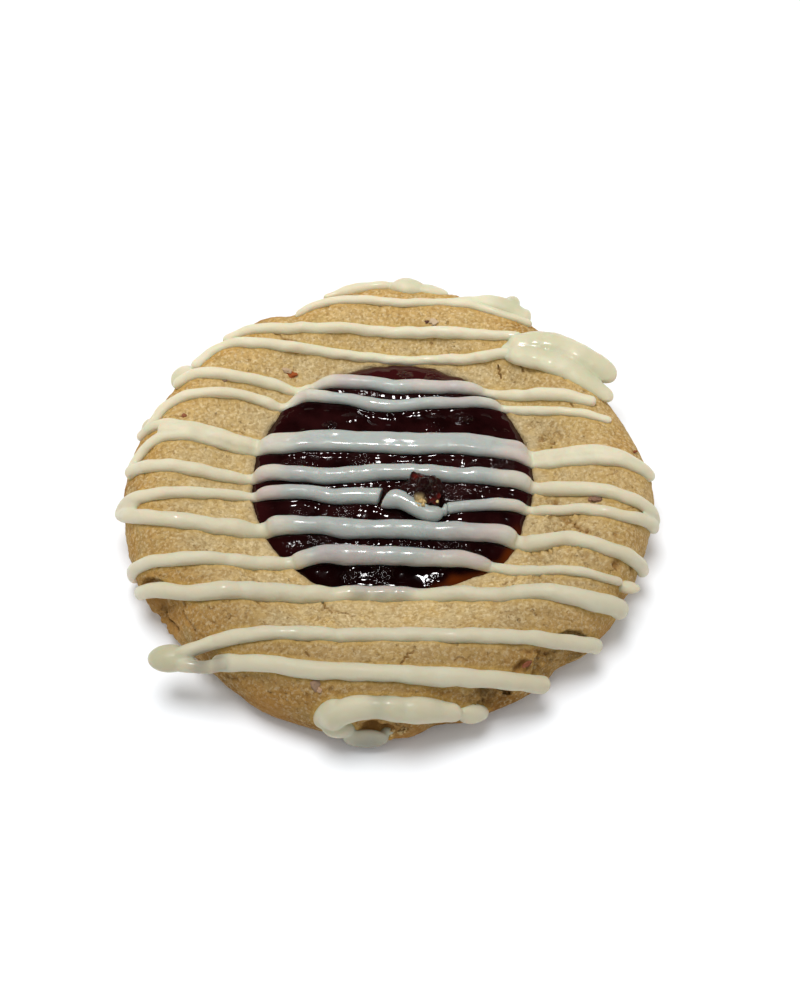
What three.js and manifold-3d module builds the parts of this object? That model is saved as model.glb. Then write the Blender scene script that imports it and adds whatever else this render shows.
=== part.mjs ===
// A round thumbprint biscuit: a shortbread ring with a raised rim, a pool of dark jam in its
// well, and thin lines of icing piped to and fro across both.
// Units are millimetres, +Z is up. The origin is under the middle of the flat underside, and the
// icing lines run along X.

import * as THREE from "three";
import { mergeVertices } from "three/addons/utils/BufferGeometryUtils.js";
import Module from "manifold-3d";

const wasm = await Module();
wasm.setup();

// ---- Driving sizes --------------------------------------------------------------------------

const RIM_RADIUS = 40; // widest part of the biscuit
const RIM_Z = 4.6; // height of that widest part
const BASE_RADIUS = 36.5; // edge of the flat underside
const CREST_RADIUS = 33; // top of the raised ring
const CREST_Z = 11.5;
const GROOVE_RADIUS = 22; // low line where the dough meets the jam
const GROOVE_Z = 8.3;
const WELL_RADIUS = 21.6; // top of the wall that holds the jam
const WELL_WALL_Z = 7.2; // foot of that wall
const WELL_FLOOR_RADIUS = 16;
const WELL_FLOOR_Z = 5.4;
const GAP = 0.3; // clearance between the biscuit and the jam

const SHORE_RADIUS = WELL_RADIUS - GAP; // visible edge of the jam
const SHORE_Z = 8.1;
const JAM_DOME = 1.8; // how far the jam rises in the middle
const JAM_FLATNESS = 3.5; // the higher, the flatter the middle of the pool
const JAM_EDGE = 0.7; // the lower, the steeper its edge
const JAM_CENTRE = new THREE.Vector2(0.8, 1.6); // the pool sits a little off centre

// Rows of facets, from the underside up: shares of a quarter turn on the lower and the upper
// part of the rim, and radii on the ring's inner slope and on the jam.
const LOWER_RIM_TURNS = [0.4, 0.75, 1];
const UPPER_RIM_TURNS = [0.28, 0.52, 0.76];
const INNER_SLOPE_RADII = [CREST_RADIUS, 30, 27, 24.4, GROOVE_RADIUS];
const JAM_RADII = [20.4, 18.6, 16, 12, 6, 0];
const UNDERSIDE_RADIUS = 18; // one ring of facets inside the underside

// How far the outline stands out from a true circle, at equal steps of angle from +X.
const RIM_OFFSETS = [
  -0.2, -1.9, -0.8, 0.1, 0.5, -0.6, -0.7, -1.0, -0.4, -0.5, -0.8, 0.2, 0.5, -0.4, -0.6, -0.9,
];
const SHORE_OFFSETS = [
  -0.2, -1.0, -0.6, 0.5, 0.3, -0.2, -0.3, -0.5, 0.1, 0.7, 0.9, 1.2, 0.6, 0.1, 1.1, 0.2,
];

// Bites out of the rim: middle angle and half width in degrees, depth in mm, and the height
// above which the bite cuts.
const BITES = [
  { angle: 115, width: 6, depth: 1.6, from: 3 },
  { angle: -30, width: 5, depth: 0.7, from: 0 },
  { angle: -50, width: 7, depth: 1.1, from: 0 },
  { angle: -80, width: 6, depth: 0.9, from: 0 },
  { angle: -142, width: 9, depth: 1.1, from: 5 },
];

const RING_STEPS = 72; // facets round the biscuit
const JAM_STEPS = 40;
const BEAD_SIDES = 6;
const CAP_STEPS = 2;
const BEAD_STEP = 3.9; // length of one facet along an icing line
const BEAD_FLATNESS = 0.46; // half height of an icing line as a share of its width
const BEAD_LIFT = 0.12; // how far its middle stands above the surface, as a share of its width

// Icing lines, back to front. Each has its width at the start, the middle and the end, and a
// route: x, y pairs are walked over the surface, and x, y, z triples hang in the air off the rim.
const ICING_LINES = [
  {
    widths: [1.4, 1.4, 1.5],
    route: [[-14.2, 34.4], [-11, 37.2], [-6, 38.2], [0, 39.6], [3, 40]],
  },
  {
    widths: [1.3, 1.35, 1.6],
    route: [[-14.2, 31.9], [-8, 33.8], [2, 33], [12, 33.2], [15, 33.6]],
  },
  {
    widths: [1.4, 3.4, 2.4],
    route: [[12, 33.3, 11.9], [15, 34, 11.4], [18.8, 34, 10.4], [22.6, 31.6, 9.4]],
  },
  {
    widths: [1.5, 1.6, 1.8],
    route: [[-26, 23.4], [-22.5, 26.2], [-17, 27.2], [-8, 28.2], [2, 28.1], [11, 27.3], [18, 26.2]],
  },
  {
    widths: [2, 4.2, 3.6],
    route: [
      [17, 26.2, 11.9], [20, 25.6, 12.3], [24, 25.2, 12.3],
      [28.4, 23.7, 11.9], [32.3, 21.9, 11.2], [34.5, 20.4, 10.7],
    ],
  },
  {
    widths: [1.6, 1.7, 1.9],
    route: [
      [-29.6, 20], [-27, 22.4], [-21.5, 23.6], [-13.8, 24.4],
      [-5, 24.3], [2, 23.8], [10, 23.6], [18, 23],
    ],
  },
  {
    widths: [2, 3, 2.4],
    route: [
      [16.5, 23.2, 11.4], [22.4, 21.8, 11.9], [26.5, 19.9, 12],
      [30.5, 17.8, 11.5], [34, 15.6, 10.5],
    ],
  },
  {
    widths: [2, 2, 2],
    route: [
      [-33.5, 17.4], [-30.5, 18.2], [-24, 18.1], [-12, 18.5], [2, 17.3],
      [11, 18], [17, 16.6], [26.6, 13.9], [31.2, 12.2],
    ],
  },
  {
    widths: [1.9, 1.8, 1.9],
    route: [
      [-36.4, 8.6], [-34, 12.2], [-29, 14.2], [-21, 15], [-13.5, 15.7], [0, 13],
      [8, 13.5], [17, 14], [22, 12.5], [29, 10.4], [33.6, 9],
    ],
  },
  {
    widths: [1.7, 2, 1.9],
    route: [
      [-37.6, 8.4], [-34.5, 7.9], [-30, 7.4], [-20.8, 7.1], [-11, 6.8], [2, 6.2],
      [14, 6], [22, 4.8], [29, 3.5], [36, 1.8], [39.9, 0.9],
    ],
  },
  {
    widths: [1.7, 2, 1.9],
    route: [
      [-38.4, 2.2], [-36.6, 4.4], [-33.5, 5.8], [-27, 5.9], [-20.8, 5.5], [-11, 5.2],
      [2, 4.6], [14, 4.4], [22, 3.2], [30, 1.6], [37.5, 0.2],
    ],
  },
  {
    widths: [2.1, 2.3, 2.2],
    route: [
      [-40, 1], [-34, 0.3], [-24, 0], [-17, 0.4], [-9.7, -0.8], [2, -0.1],
      [12, -0.6], [20, -1.1], [26, -2.7], [35.7, -5.5], [42, -6],
    ],
  },
  {
    widths: [2.1, 2, 1.9],
    route: [
      [-43.5, -3.4], [-39, -4.6], [-34, -5], [-28, -4.1],
      [-20.7, -3.1], [-14, -3.4], [-5.3, -4.5], [-0.6, -4.1],
    ],
  },
  {
    widths: [2.6, 2.4, 1.8],
    route: [[0, -4.4], [2.4, -5.7], [5.2, -7.6], [7.4, -7.9]],
  },
  {
    widths: [1.8, 1.9, 2],
    route: [[9, -6.4], [13, -6.1], [18, -5.4], [22, -5.9], [27.5, -7.1], [34, -8.6], [42.5, -7.4]],
  },
  {
    widths: [2.3, 2.9, 2.6],
    route: [
      [-43.5, -4], [-40, -6.3], [-33, -9.3], [-27, -9.9], [-20, -9.5], [-14.8, -9],
      [-5, -10.2], [10, -10.6], [18, -11], [24, -12.7], [31, -15.1], [40.5, -15],
    ],
  },
  {
    widths: [2.3, 2.5, 1.6],
    route: [
      [-42.6, -15.6], [-36, -15.8], [-29.8, -16.4], [-18.4, -15.7], [-10.3, -14.4],
      [2, -14.9], [13, -15], [20, -17.2], [28, -18.5], [34, -18],
    ],
  },
  {
    widths: [2.1, 3, 2.8],
    route: [
      [-39.6, -19], [-32, -20.5], [-24, -21.9], [-12.5, -20.9], [-4, -20.2],
      [2, -20.3], [9.2, -20.8], [18.4, -21.8], [27, -22.7], [37.6, -23],
    ],
  },
  {
    widths: [2.1, 2.1, 2.1],
    route: [
      [-26.5, -29.3], [-24, -29.2], [-20, -28.9], [-10, -28.8],
      [2, -28.7], [14, -29.3], [26, -28.6], [34, -29],
    ],
  },
  {
    widths: [2, 3.6, 2],
    route: [
      [-23.5, -28.6, 10.2], [-27.5, -29.4, 9.3], [-31.5, -29.6, 8.8], [-33, -30.7, 8.5],
      [-30, -32, 8.2], [-26, -32.2, 8.3], [-22.8, -31.2, 8.8],
    ],
  },
  {
    widths: [2.5, 2.6, 2.6],
    route: [
      [-23.9, -32.2], [-18, -32.9], [-11.8, -34.1], [-2, -35],
      [10, -35.2], [18, -35.3], [24, -35.8],
    ],
  },
  {
    widths: [3.2, 4, 1.6],
    route: [[-9.4, -42], [-7, -40.9], [-3, -39], [2, -39.6], [9, -39.9], [13.5, -40.9]],
  },
];

// Larger spots of icing, where a line turns round or ends: middle, half lengths along and
// across, half height, and turn from +X in degrees.
const ICING_SPOTS = [
  { at: [4.6, 40.4], half: [4.4, 1.6], height: 1.5, turn: -2 },
  { at: [20.6, 35.2, 10.2], half: [1.3, 1.1], height: 0.9, turn: 30 },
  { at: [34.4, 19.6, 10.6], half: [1.9, 1.7], height: 1.5, turn: -50 },
  { at: [-32.2, 19.4, 9.6], half: [2, 1.7], height: 1.4, turn: 40 },
  { at: [-36.6, 9.4], half: [1.4, 2], height: 1.3, turn: 10 },
  { at: [42.6, -5.6], half: [1.7, 2.2], height: 1.3, turn: 8 },
  { at: [-31.4, -30.6, 8.6], half: [2.7, 2.2], height: 1.6, turn: -10 },
];

// A crumb of dough that lies in the jam, coated with it.
const CRUMB_CENTRE = new THREE.Vector3(5, -2.9, 12.3);
const CRUMB_HALF = new THREE.Vector3(3.1, 2.3, 1.7);

// ---- Surface of the dough and the jam -------------------------------------------------------

const TAU = Math.PI * 2;
const DEGREE = TAU / 360;
const UPWARD = new THREE.Vector3(0, 0, 1);
const NUDGE = 0.4; // half the span over which a slope is measured
const SHOULDER = RIM_RADIUS - CREST_RADIUS; // radius of the rounded shoulder outside the crest
const clamp01 = (t) => THREE.MathUtils.clamp(t, 0, 1);

// Smooth closed reading of a list of offsets spread evenly round the circle.
function aroundTheRing(offsets, angle) {
  const place = (((angle / TAU) % 1) + 1) % 1 * offsets.length;
  const index = Math.floor(place);
  const blend = THREE.MathUtils.smoothstep(place - index, 0, 1);
  const next = offsets[(index + 1) % offsets.length];
  return offsets[index] * (1 - blend) + next * blend;
}

function biteDepth(angle, z) {
  let depth = 0;
  for (const bite of BITES) {
    const turn = angle - bite.angle * DEGREE;
    const apart = Math.atan2(Math.sin(turn), Math.cos(turn));
    const inside = clamp01(1 - Math.abs(apart) / (bite.width * DEGREE));
    if (z >= bite.from) depth += bite.depth * THREE.MathUtils.smoothstep(inside, 0, 1);
  }
  return depth;
}

const rimScale = (angle) => 1 + aroundTheRing(RIM_OFFSETS, angle) / RIM_RADIUS;
const shoreScale = (angle) => 1 + aroundTheRing(SHORE_OFFSETS, angle) / SHORE_RADIUS;

// Low unevenness of the baked surface, from crossing waves.
function unevenness(x, y) {
  const broad = Math.sin(x * 0.43 + 1.3) * Math.sin(y * 0.37 + 0.4);
  const fine = Math.sin(x * 1.21 + y * 0.53) * Math.sin(y * 1.07 - x * 0.31 + 2);
  return 0.16 * broad + 0.13 * fine;
}

// How much of the rim's own shape, rather than the well's, holds at a nominal radius.
const rimShare = (radius) => THREE.MathUtils.smoothstep(radius, GROOVE_RADIUS + 1, CREST_RADIUS - 2);

// Moves a point from the true circular form to the uneven one.
function settle(radius, angle, z) {
  const share = rimShare(radius);
  const scale = shoreScale(angle) * (1 - share) + rimScale(angle) * share;
  const real = radius * scale - share * biteDepth(angle, z);
  const x = real * Math.cos(angle) + JAM_CENTRE.x * (1 - share);
  const y = real * Math.sin(angle) + JAM_CENTRE.y * (1 - share);
  return new THREE.Vector3(x, y, z);
}

// Nominal radius of a place seen from above: the reverse of settle.
function nominalRadius(x, y) {
  let radius = Math.hypot(x, y);
  for (let pass = 0; pass < 4; pass += 1) {
    const share = rimShare(radius);
    const dx = x - JAM_CENTRE.x * (1 - share);
    const dy = y - JAM_CENTRE.y * (1 - share);
    const angle = Math.atan2(dy, dx);
    radius = Math.hypot(dx, dy) / (shoreScale(angle) * (1 - share) + rimScale(angle) * share);
  }
  return radius;
}

function jamHeight(radius) {
  const inward = Math.max(0, 1 - Math.pow(radius / SHORE_RADIUS, JAM_FLATNESS));
  return SHORE_Z + JAM_DOME * Math.pow(inward, JAM_EDGE);
}

function doughHeight(radius) {
  if (radius > CREST_RADIUS) {
    const across = clamp01((radius - CREST_RADIUS) / SHOULDER);
    return RIM_Z + (CREST_Z - RIM_Z) * Math.sqrt(Math.max(0, 1 - across * across));
  }
  const up = THREE.MathUtils.smoothstep(radius, GROOVE_RADIUS - 0.6, CREST_RADIUS);
  return GROOVE_Z + (CREST_Z - GROOVE_Z) * up;
}

// Height of whatever lies on top at a place seen from above.
function topHeight(x, y) {
  const radius = nominalRadius(x, y);
  if (radius < SHORE_RADIUS) return jamHeight(radius);
  return doughHeight(radius) + unevenness(x, y);
}

// The place and the outward direction reached by walking x, y over the surface. Inside the crest
// that is the place seen from above; past it the walk goes on down the side.
function drape(x, y) {
  const walked = Math.hypot(x, y);
  const angle = Math.atan2(y, x);
  const crest = CREST_RADIUS * rimScale(angle) - biteDepth(angle, CREST_Z);
  if (walked <= crest) {
    const slopeX = topHeight(x + NUDGE, y) - topHeight(x - NUDGE, y);
    const slopeY = topHeight(x, y + NUDGE) - topHeight(x, y - NUDGE);
    return {
      place: new THREE.Vector3(x, y, topHeight(x, y)),
      out: new THREE.Vector3(-slopeX, -slopeY, 2 * NUDGE).normalize(),
    };
  }
  const turn = (walked - crest) / SHOULDER;
  const away = new THREE.Vector3(Math.cos(angle), Math.sin(angle), 0);
  const place = away.clone().multiplyScalar(crest + SHOULDER * Math.sin(turn));
  place.z = RIM_Z + (CREST_Z - RIM_Z) * Math.cos(turn) + unevenness(place.x, place.y);
  const out = away.multiplyScalar(Math.sin(turn)).addScaledVector(UPWARD, Math.cos(turn));
  return { place, out };
}

// A place in the air, for icing that hangs off the rim.
const hang = (x, y, z) => ({ place: new THREE.Vector3(x, y, z), out: UPWARD });

// ---- Solids ---------------------------------------------------------------------------------

function toSolid(geometry) {
  const bare = geometry.clone();
  bare.deleteAttribute("normal");
  bare.deleteAttribute("uv");
  const merged = mergeVertices(bare, 1e-4);
  const index = merged.index.array;
  const triangles = [];
  for (let i = 0; i < index.length; i += 3) {
    const [a, b, c] = [index[i], index[i + 1], index[i + 2]];
    if (a !== b && b !== c && c !== a) triangles.push(a, b, c);
  }
  return new wasm.Manifold(new wasm.Mesh({
    numProp: 3,
    vertProperties: merged.attributes.position.array,
    triVerts: new Uint32Array(triangles),
  }));
}

function toGeometry(solid) {
  const mesh = solid.getMesh();
  const geometry = new THREE.BufferGeometry();
  geometry.setAttribute("position", new THREE.BufferAttribute(mesh.vertProperties, mesh.numProp));
  geometry.setIndex(new THREE.BufferAttribute(mesh.triVerts, 1));
  geometry.computeVertexNormals();
  return geometry;
}

// Moves every vertex of a geometry by a function of its place.
function reshape(geometry, move) {
  const position = geometry.attributes.position;
  const point = new THREE.Vector3();
  for (let i = 0; i < position.count; i += 1) {
    point.fromBufferAttribute(position, i);
    const moved = move(point);
    position.setXYZ(i, moved.x, moved.y, moved.z);
  }
  return geometry;
}

// Turns a half profile of [radius, z] pairs, given from the underside outwards, about +Z.
function turned(profile, steps) {
  const points = profile.map(([radius, z]) => new THREE.Vector2(radius, z));
  return new THREE.LatheGeometry(points, steps).rotateX(Math.PI / 2);
}

function doughSolid() {
  const profile = [[0, 0], [UNDERSIDE_RADIUS, 0], [BASE_RADIUS, 0]];
  const rimFall = RIM_RADIUS - BASE_RADIUS;
  for (const share of LOWER_RIM_TURNS) {
    const turn = share * Math.PI / 2;
    profile.push([BASE_RADIUS + rimFall * Math.sin(turn), RIM_Z * (1 - Math.cos(turn))]);
  }
  for (const share of UPPER_RIM_TURNS) {
    const turn = share * Math.PI / 2;
    const radius = CREST_RADIUS + SHOULDER * Math.cos(turn);
    profile.push([radius, doughHeight(radius)]);
  }
  for (const radius of INNER_SLOPE_RADII) {
    profile.push([radius, doughHeight(radius)]);
  }
  profile.push([WELL_RADIUS, SHORE_Z], [WELL_RADIUS, WELL_WALL_Z]);
  profile.push([WELL_FLOOR_RADIUS, WELL_FLOOR_Z], [0, WELL_FLOOR_Z]);
  const baked = reshape(turned(profile, RING_STEPS), (point) => {
    const radius = Math.hypot(point.x, point.y);
    const settled = settle(radius, Math.atan2(point.y, point.x), point.z);
    const isTop = point.z > RIM_Z && radius > (WELL_RADIUS + GROOVE_RADIUS) / 2;
    if (isTop) settled.z += unevenness(settled.x, settled.y);
    return settled;
  });
  return toSolid(baked);
}

function jamSolid() {
  const profile = [
    [0, WELL_FLOOR_Z + GAP],
    [WELL_FLOOR_RADIUS, WELL_FLOOR_Z + GAP],
    [SHORE_RADIUS, WELL_WALL_Z + GAP],
    [SHORE_RADIUS, SHORE_Z],
  ];
  for (const radius of JAM_RADII) profile.push([radius, jamHeight(radius)]);
  const pool = reshape(turned(profile, JAM_STEPS), (point) => {
    const radius = Math.hypot(point.x, point.y);
    return settle(radius, Math.atan2(point.y, point.x), point.z);
  });
  return toSolid(pool);
}

// One piped line of icing: a round-ended capsule bent along its route and laid on the surface.
function beadSolid({ route, widths }) {
  const hangs = route[0].length === 3;
  const line = new THREE.CatmullRomCurve3(route.map(([x, y, z = 0]) => new THREE.Vector3(x, y, z)));
  const rest = (along) => {
    const point = line.getPointAt(clamp01(along));
    return hangs ? hang(point.x, point.y, point.z) : drape(point.x, point.y);
  };
  const length = line.getLength();
  const steps = Math.ceil(length / BEAD_STEP);
  const half = new THREE.QuadraticBezierCurve(
    new THREE.Vector2(0, widths[0] / 2),
    new THREE.Vector2(0.5, widths[1] - (widths[0] + widths[2]) / 4),
    new THREE.Vector2(1, widths[2] / 2),
  );
  const capsule = new THREE.CapsuleGeometry(1, length, CAP_STEPS, BEAD_SIDES, steps);
  const piped = reshape(capsule, (point) => {
    const along = clamp01(point.y / length + 0.5);
    const halfWidth = half.getPoint(along).y;
    const past = (point.y - THREE.MathUtils.clamp(point.y, -length / 2, length / 2)) * halfWidth;
    const { place, out } = rest(along);
    const behind = rest(along - NUDGE / length).place;
    const ahead = rest(along + NUDGE / length).place.sub(behind).normalize();
    const side = ahead.clone().cross(out).normalize();
    return place
      .addScaledVector(ahead, past)
      .addScaledVector(side, point.x * halfWidth)
      .addScaledVector(out, halfWidth * 2 * (BEAD_LIFT + BEAD_FLATNESS * point.z));
  });
  return toSolid(piped);
}

// One spot of icing: a flattened sphere draped over the surface.
function spotSolid({ at, half, height, turn }) {
  const cos = Math.cos(turn * DEGREE);
  const sin = Math.sin(turn * DEGREE);
  const ball = new THREE.SphereGeometry(1, 10, 6).rotateX(Math.PI / 2);
  const draped = reshape(ball, (point) => {
    const x = at[0] + half[0] * point.x * cos - half[1] * point.y * sin;
    const y = at[1] + half[0] * point.x * sin + half[1] * point.y * cos;
    const { place, out } = at.length === 3 ? hang(x, y, at[2]) : drape(x, y);
    return place.addScaledVector(out, height * point.z);
  });
  return toSolid(draped);
}

// A tall prism whose outline is the edge of the jam, grown by a margin.
function shorePrism(margin) {
  const outline = new THREE.Shape();
  for (let step = 0; step < JAM_STEPS; step += 1) {
    const place = settle(SHORE_RADIUS + margin, step / JAM_STEPS * TAU, 0);
    if (step === 0) outline.moveTo(place.x, place.y);
    else outline.lineTo(place.x, place.y);
  }
  outline.closePath();
  return toSolid(new THREE.ExtrudeGeometry(outline, { depth: 3 * CREST_Z, bevelEnabled: false }));
}

// The jam-coated crumb: a lumpy ball, resting just clear of the jam.
function crumbSolid() {
  const ball = new THREE.SphereGeometry(1, 12, 8).rotateX(Math.PI / 2);
  const lump = reshape(ball, (point) => {
    const lumps = 0.1 * Math.sin(5 * point.x + 1) * Math.cos(4 * point.y);
    const ridges = 0.06 * Math.sin(7 * point.z);
    return point.clone().multiplyScalar(1 + lumps + ridges).multiply(CRUMB_HALF).add(CRUMB_CENTRE);
  });
  return toSolid(lump);
}

// The largest single body of a solid, without loose scraps, and with any sealed hollow filled.
function wholeBody(solid) {
  const bodies = toSolid(toGeometry(solid)).decompose();
  bodies.sort((a, b) => b.volume() - a.volume());
  return bodies[0];
}

// ---- The biscuit ----------------------------------------------------------------------------

const lines = ICING_LINES.map(beadSolid);
const spots = ICING_SPOTS.map(spotSolid);
const icing = [...lines, ...spots].reduce((all, piece) => all.add(piece));
const span = 4 * RIM_RADIUS;
const floor = toSolid(new THREE.BoxGeometry(span, span, span).translate(0, 0, GAP - span / 2));
const icingOnDough = icing.subtract(shorePrism(GAP / 2)).subtract(floor);
const icingOnJam = icing.intersect(shorePrism(-GAP / 2));

const biscuit = new THREE.Group();

function addNode(name, solid, color, roughness) {
  const material = new THREE.MeshStandardMaterial({ color, roughness, metalness: 0 });
  const mesh = new THREE.Mesh(toGeometry(solid), material);
  mesh.name = name;
  biscuit.add(mesh);
}

const crumb = crumbSolid();
addNode("cookie", wholeBody(doughSolid().add(icingOnDough)), 0xcdb07a, 0.9);
addNode("jam", wholeBody(jamSolid().add(icingOnJam)), 0x2a0f12, 0.15);
addNode("jammy_crumb", crumb, 0x3b1216, 0.25);

export default biscuit;
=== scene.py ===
import random
from math import atan2, cos, exp, hypot, pi, radians, sin, sqrt, tau

import bmesh
import bpy
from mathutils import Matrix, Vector, kdtree, noise


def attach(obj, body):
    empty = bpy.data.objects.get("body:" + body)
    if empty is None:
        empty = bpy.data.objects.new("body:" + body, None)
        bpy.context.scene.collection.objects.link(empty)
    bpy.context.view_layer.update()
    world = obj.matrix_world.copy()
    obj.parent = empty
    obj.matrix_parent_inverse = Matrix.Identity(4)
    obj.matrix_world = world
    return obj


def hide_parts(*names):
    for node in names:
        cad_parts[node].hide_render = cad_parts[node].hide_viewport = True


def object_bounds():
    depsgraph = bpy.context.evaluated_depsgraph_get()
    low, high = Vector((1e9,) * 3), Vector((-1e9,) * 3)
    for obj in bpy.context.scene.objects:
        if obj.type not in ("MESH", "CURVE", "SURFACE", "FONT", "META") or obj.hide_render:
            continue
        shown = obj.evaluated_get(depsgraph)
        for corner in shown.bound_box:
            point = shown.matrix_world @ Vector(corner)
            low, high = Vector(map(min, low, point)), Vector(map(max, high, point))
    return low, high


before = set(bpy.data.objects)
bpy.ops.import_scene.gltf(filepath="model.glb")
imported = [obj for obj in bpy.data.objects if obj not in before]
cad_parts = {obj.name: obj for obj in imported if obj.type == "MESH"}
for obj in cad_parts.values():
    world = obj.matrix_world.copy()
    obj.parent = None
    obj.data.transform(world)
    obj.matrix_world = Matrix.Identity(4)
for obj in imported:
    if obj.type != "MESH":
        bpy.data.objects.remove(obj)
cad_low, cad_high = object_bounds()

# A round thumbprint biscuit with jam and piped icing. Sizes are in millimetres until a form is
# finished, when it is brought to metres.

MM = 0.001
UP = Vector((0, 0, 1))
scene = bpy.context.scene
noise.seed_set(1)  # without a seed, vector noise starts from the clock

# ---- Radii, heights and outlines shared with the part's solids ----

RIM, RIM_Z = 40, 4.6
BASE = 36.5
CREST, CREST_Z = 33, 11.5
GROOVE, GROOVE_Z = 22, 8.3
WELL, WELL_WALL_Z = 21.6, 7.2
WELL_FLOOR, WELL_FLOOR_Z = 16, 5.4
SHORE, SHORE_Z = 21.3, 8.1
JAM_DOME, JAM_FLATNESS, JAM_EDGE = 1.8, 3.5, 0.7
JAM_X, JAM_Y = 0.8, 1.6
SHOULDER = RIM - CREST

RIM_OFFSETS = (
    -0.2, -1.9, -0.8, 0.1, 0.4, -0.9, -1.1, -1.2, -0.4, -0.5, -1.1, 0.3, 0.5, -1, -0.9, -0.9,
)
SHORE_OFFSETS = (
    -0.7, -0.9, -0.4, 0, -0.2, -0.5, -0.6, -0.9, -0.6, 0, 0.7, 1.2, 0.6, 0.1, 1.1, -0.5,
)

# Bites out of the rim: middle angle and half width in degrees, depth, and the height above
# which the bite cuts.
BITES = ((115, 6, 1.6, 3), (-30, 5, 0.7, 0), (-50, 7, 1.1, 0), (-80, 6, 0.9, 0), (-142, 9, 1.1, 5))

BEAD_FLATNESS = 0.46
BEAD_LIFT = 0.12

# Icing lines: widths along the line, then the route. Pairs are walked over the surface, and
# triples hang in the air off the rim.
BACK_LINES = {
    "back_edge": ((1.2, 2.3, 2.1, 1.5), ((-10, 36.9), (-6, 38.2), (-2, 39), (1.5, 39.4))),
    "first": ((1.5, 1.5, 1.55), (
        (-14.2, 31.9), (-8, 33.8), (2, 33), (9, 33), (14, 32.6), (18, 31.3), (22.4, 30.4),
    )),
    "second": ((1.8, 1.9, 1.85), (
        (-25.3, 26.6), (-22.2, 27.3), (-17, 27.4), (-8, 28.2), (2, 28.1), (11, 27.3), (20, 25.6),
    )),
    "third": ((1.8, 1.75, 1.85), (
        (-29.8, 20.9), (-27.9, 23.3), (-25.3, 24.6), (-21.5, 24.4), (-13.8, 24.4), (-5, 24.3),
        (2, 23.8), (10, 23.6), (20, 22.6),
    )),
    "fourth": ((2, 2, 2, 1.9, 2.1), (
        (-32.6, 17.9), (-30.2, 18.3), (-24, 18), (-18, 17.9), (-14.2, 17.2), (-10.4, 18.4),
        (-4, 17.7), (3, 16.7), (10, 17), (16, 16.8), (20, 15.9), (25, 14.4), (30.6, 12.8),
    )),
    "fifth": ((1.9, 1.8, 1.8, 1.6, 1.5), (
        (-36.4, 8.6), (-34, 12.2), (-29, 14.2), (-21, 14.9), (-16.6, 14.2), (-12.6, 15.5),
        (0, 12.8), (8, 13.5), (17, 14), (22, 12.5), (29, 10.4), (33, 9.2),
    )),
}
MIDDLE_LINES = {
    "sixth_upper": ((1.7, 2, 1.9), (
        (-38.2, 8.4), (-35, 8.6), (-30, 7.7), (-20.8, 7.1), (-11, 6.8), (2, 6.2), (14, 6),
        (22, 4.8), (29, 3.5), (36, 1.8), (39.9, 0.9),
    )),
    "sixth_web": ((2.2, 2.6, 1.9, 2.3, 2.2), (
        (-33.4, 6.9), (-30, 6.7), (-25, 6.5), (-20.8, 6.3), (-11, 6), (2, 5.4), (15, 5.1),
    )),
    "sixth_right_web": ((1.2, 1.7, 2.1, 2), (
        (14, 5.2), (22, 4), (29, 2.7), (35, 1.5), (38.6, 0.9),
    )),
    "sixth_lower": ((1.7, 2, 1.9), (
        (-38.4, 2.2), (-36.6, 4.4), (-33.5, 5.8), (-27, 5.9), (-20.8, 5.5), (-11, 5.2), (2, 4.6),
        (14, 4.4), (22, 3.2), (30, 1.7), (39.4, 0.6),
    )),
    "seventh": ((2.1, 2.3, 2.2), (
        (-38.7, 1), (-34, 0.3), (-24, 0), (-17, 0.4), (-9.7, -0.8), (2, -0.1), (12, -0.6),
        (20, -1.1), (26, -2.7), (35.7, -5.5), (42, -6),
    )),
    "eighth": ((2.1, 1.9, 2.3), (
        (-41.8, -4.5), (-39, -4.6), (-34, -5), (-28, -4.1), (-20.7, -3.1), (-14, -3.4),
        (-5.3, -4.6), (-1.1, -4.4),
    )),
    "eighth_rest": ((1.8, 1.9, 2), (
        (8.5, -6.5), (13, -6.1), (18, -5.4), (22, -5.9), (27.5, -7.1), (34, -8.6), (42.3, -7),
    )),
    "ninth": ((2.3, 2.9, 2.9, 2.2), (
        (-41.8, -4.9), (-40, -6.3), (-33, -9.3), (-27, -9.9), (-20, -9.5), (-14.8, -9),
        (-5, -10.2), (10, -10.6), (16.5, -10.8), (20.6, -11.8), (25, -12.4), (31, -14.5),
        (40.5, -14.8),
    )),
}
BROKEN_LINES = {
    "broken_piece": ((2.8, 2.8, 2.7, 2.3), (
        (-0.3, -5.5, 10.8), (1.7, -5.7, 10.9), (3.3, -6.6, 10.9), (4.7, -7.5, 10.8),
        (6.1, -8.1, 10.7), (6.9, -8, 10.7),
    )),
}
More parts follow.
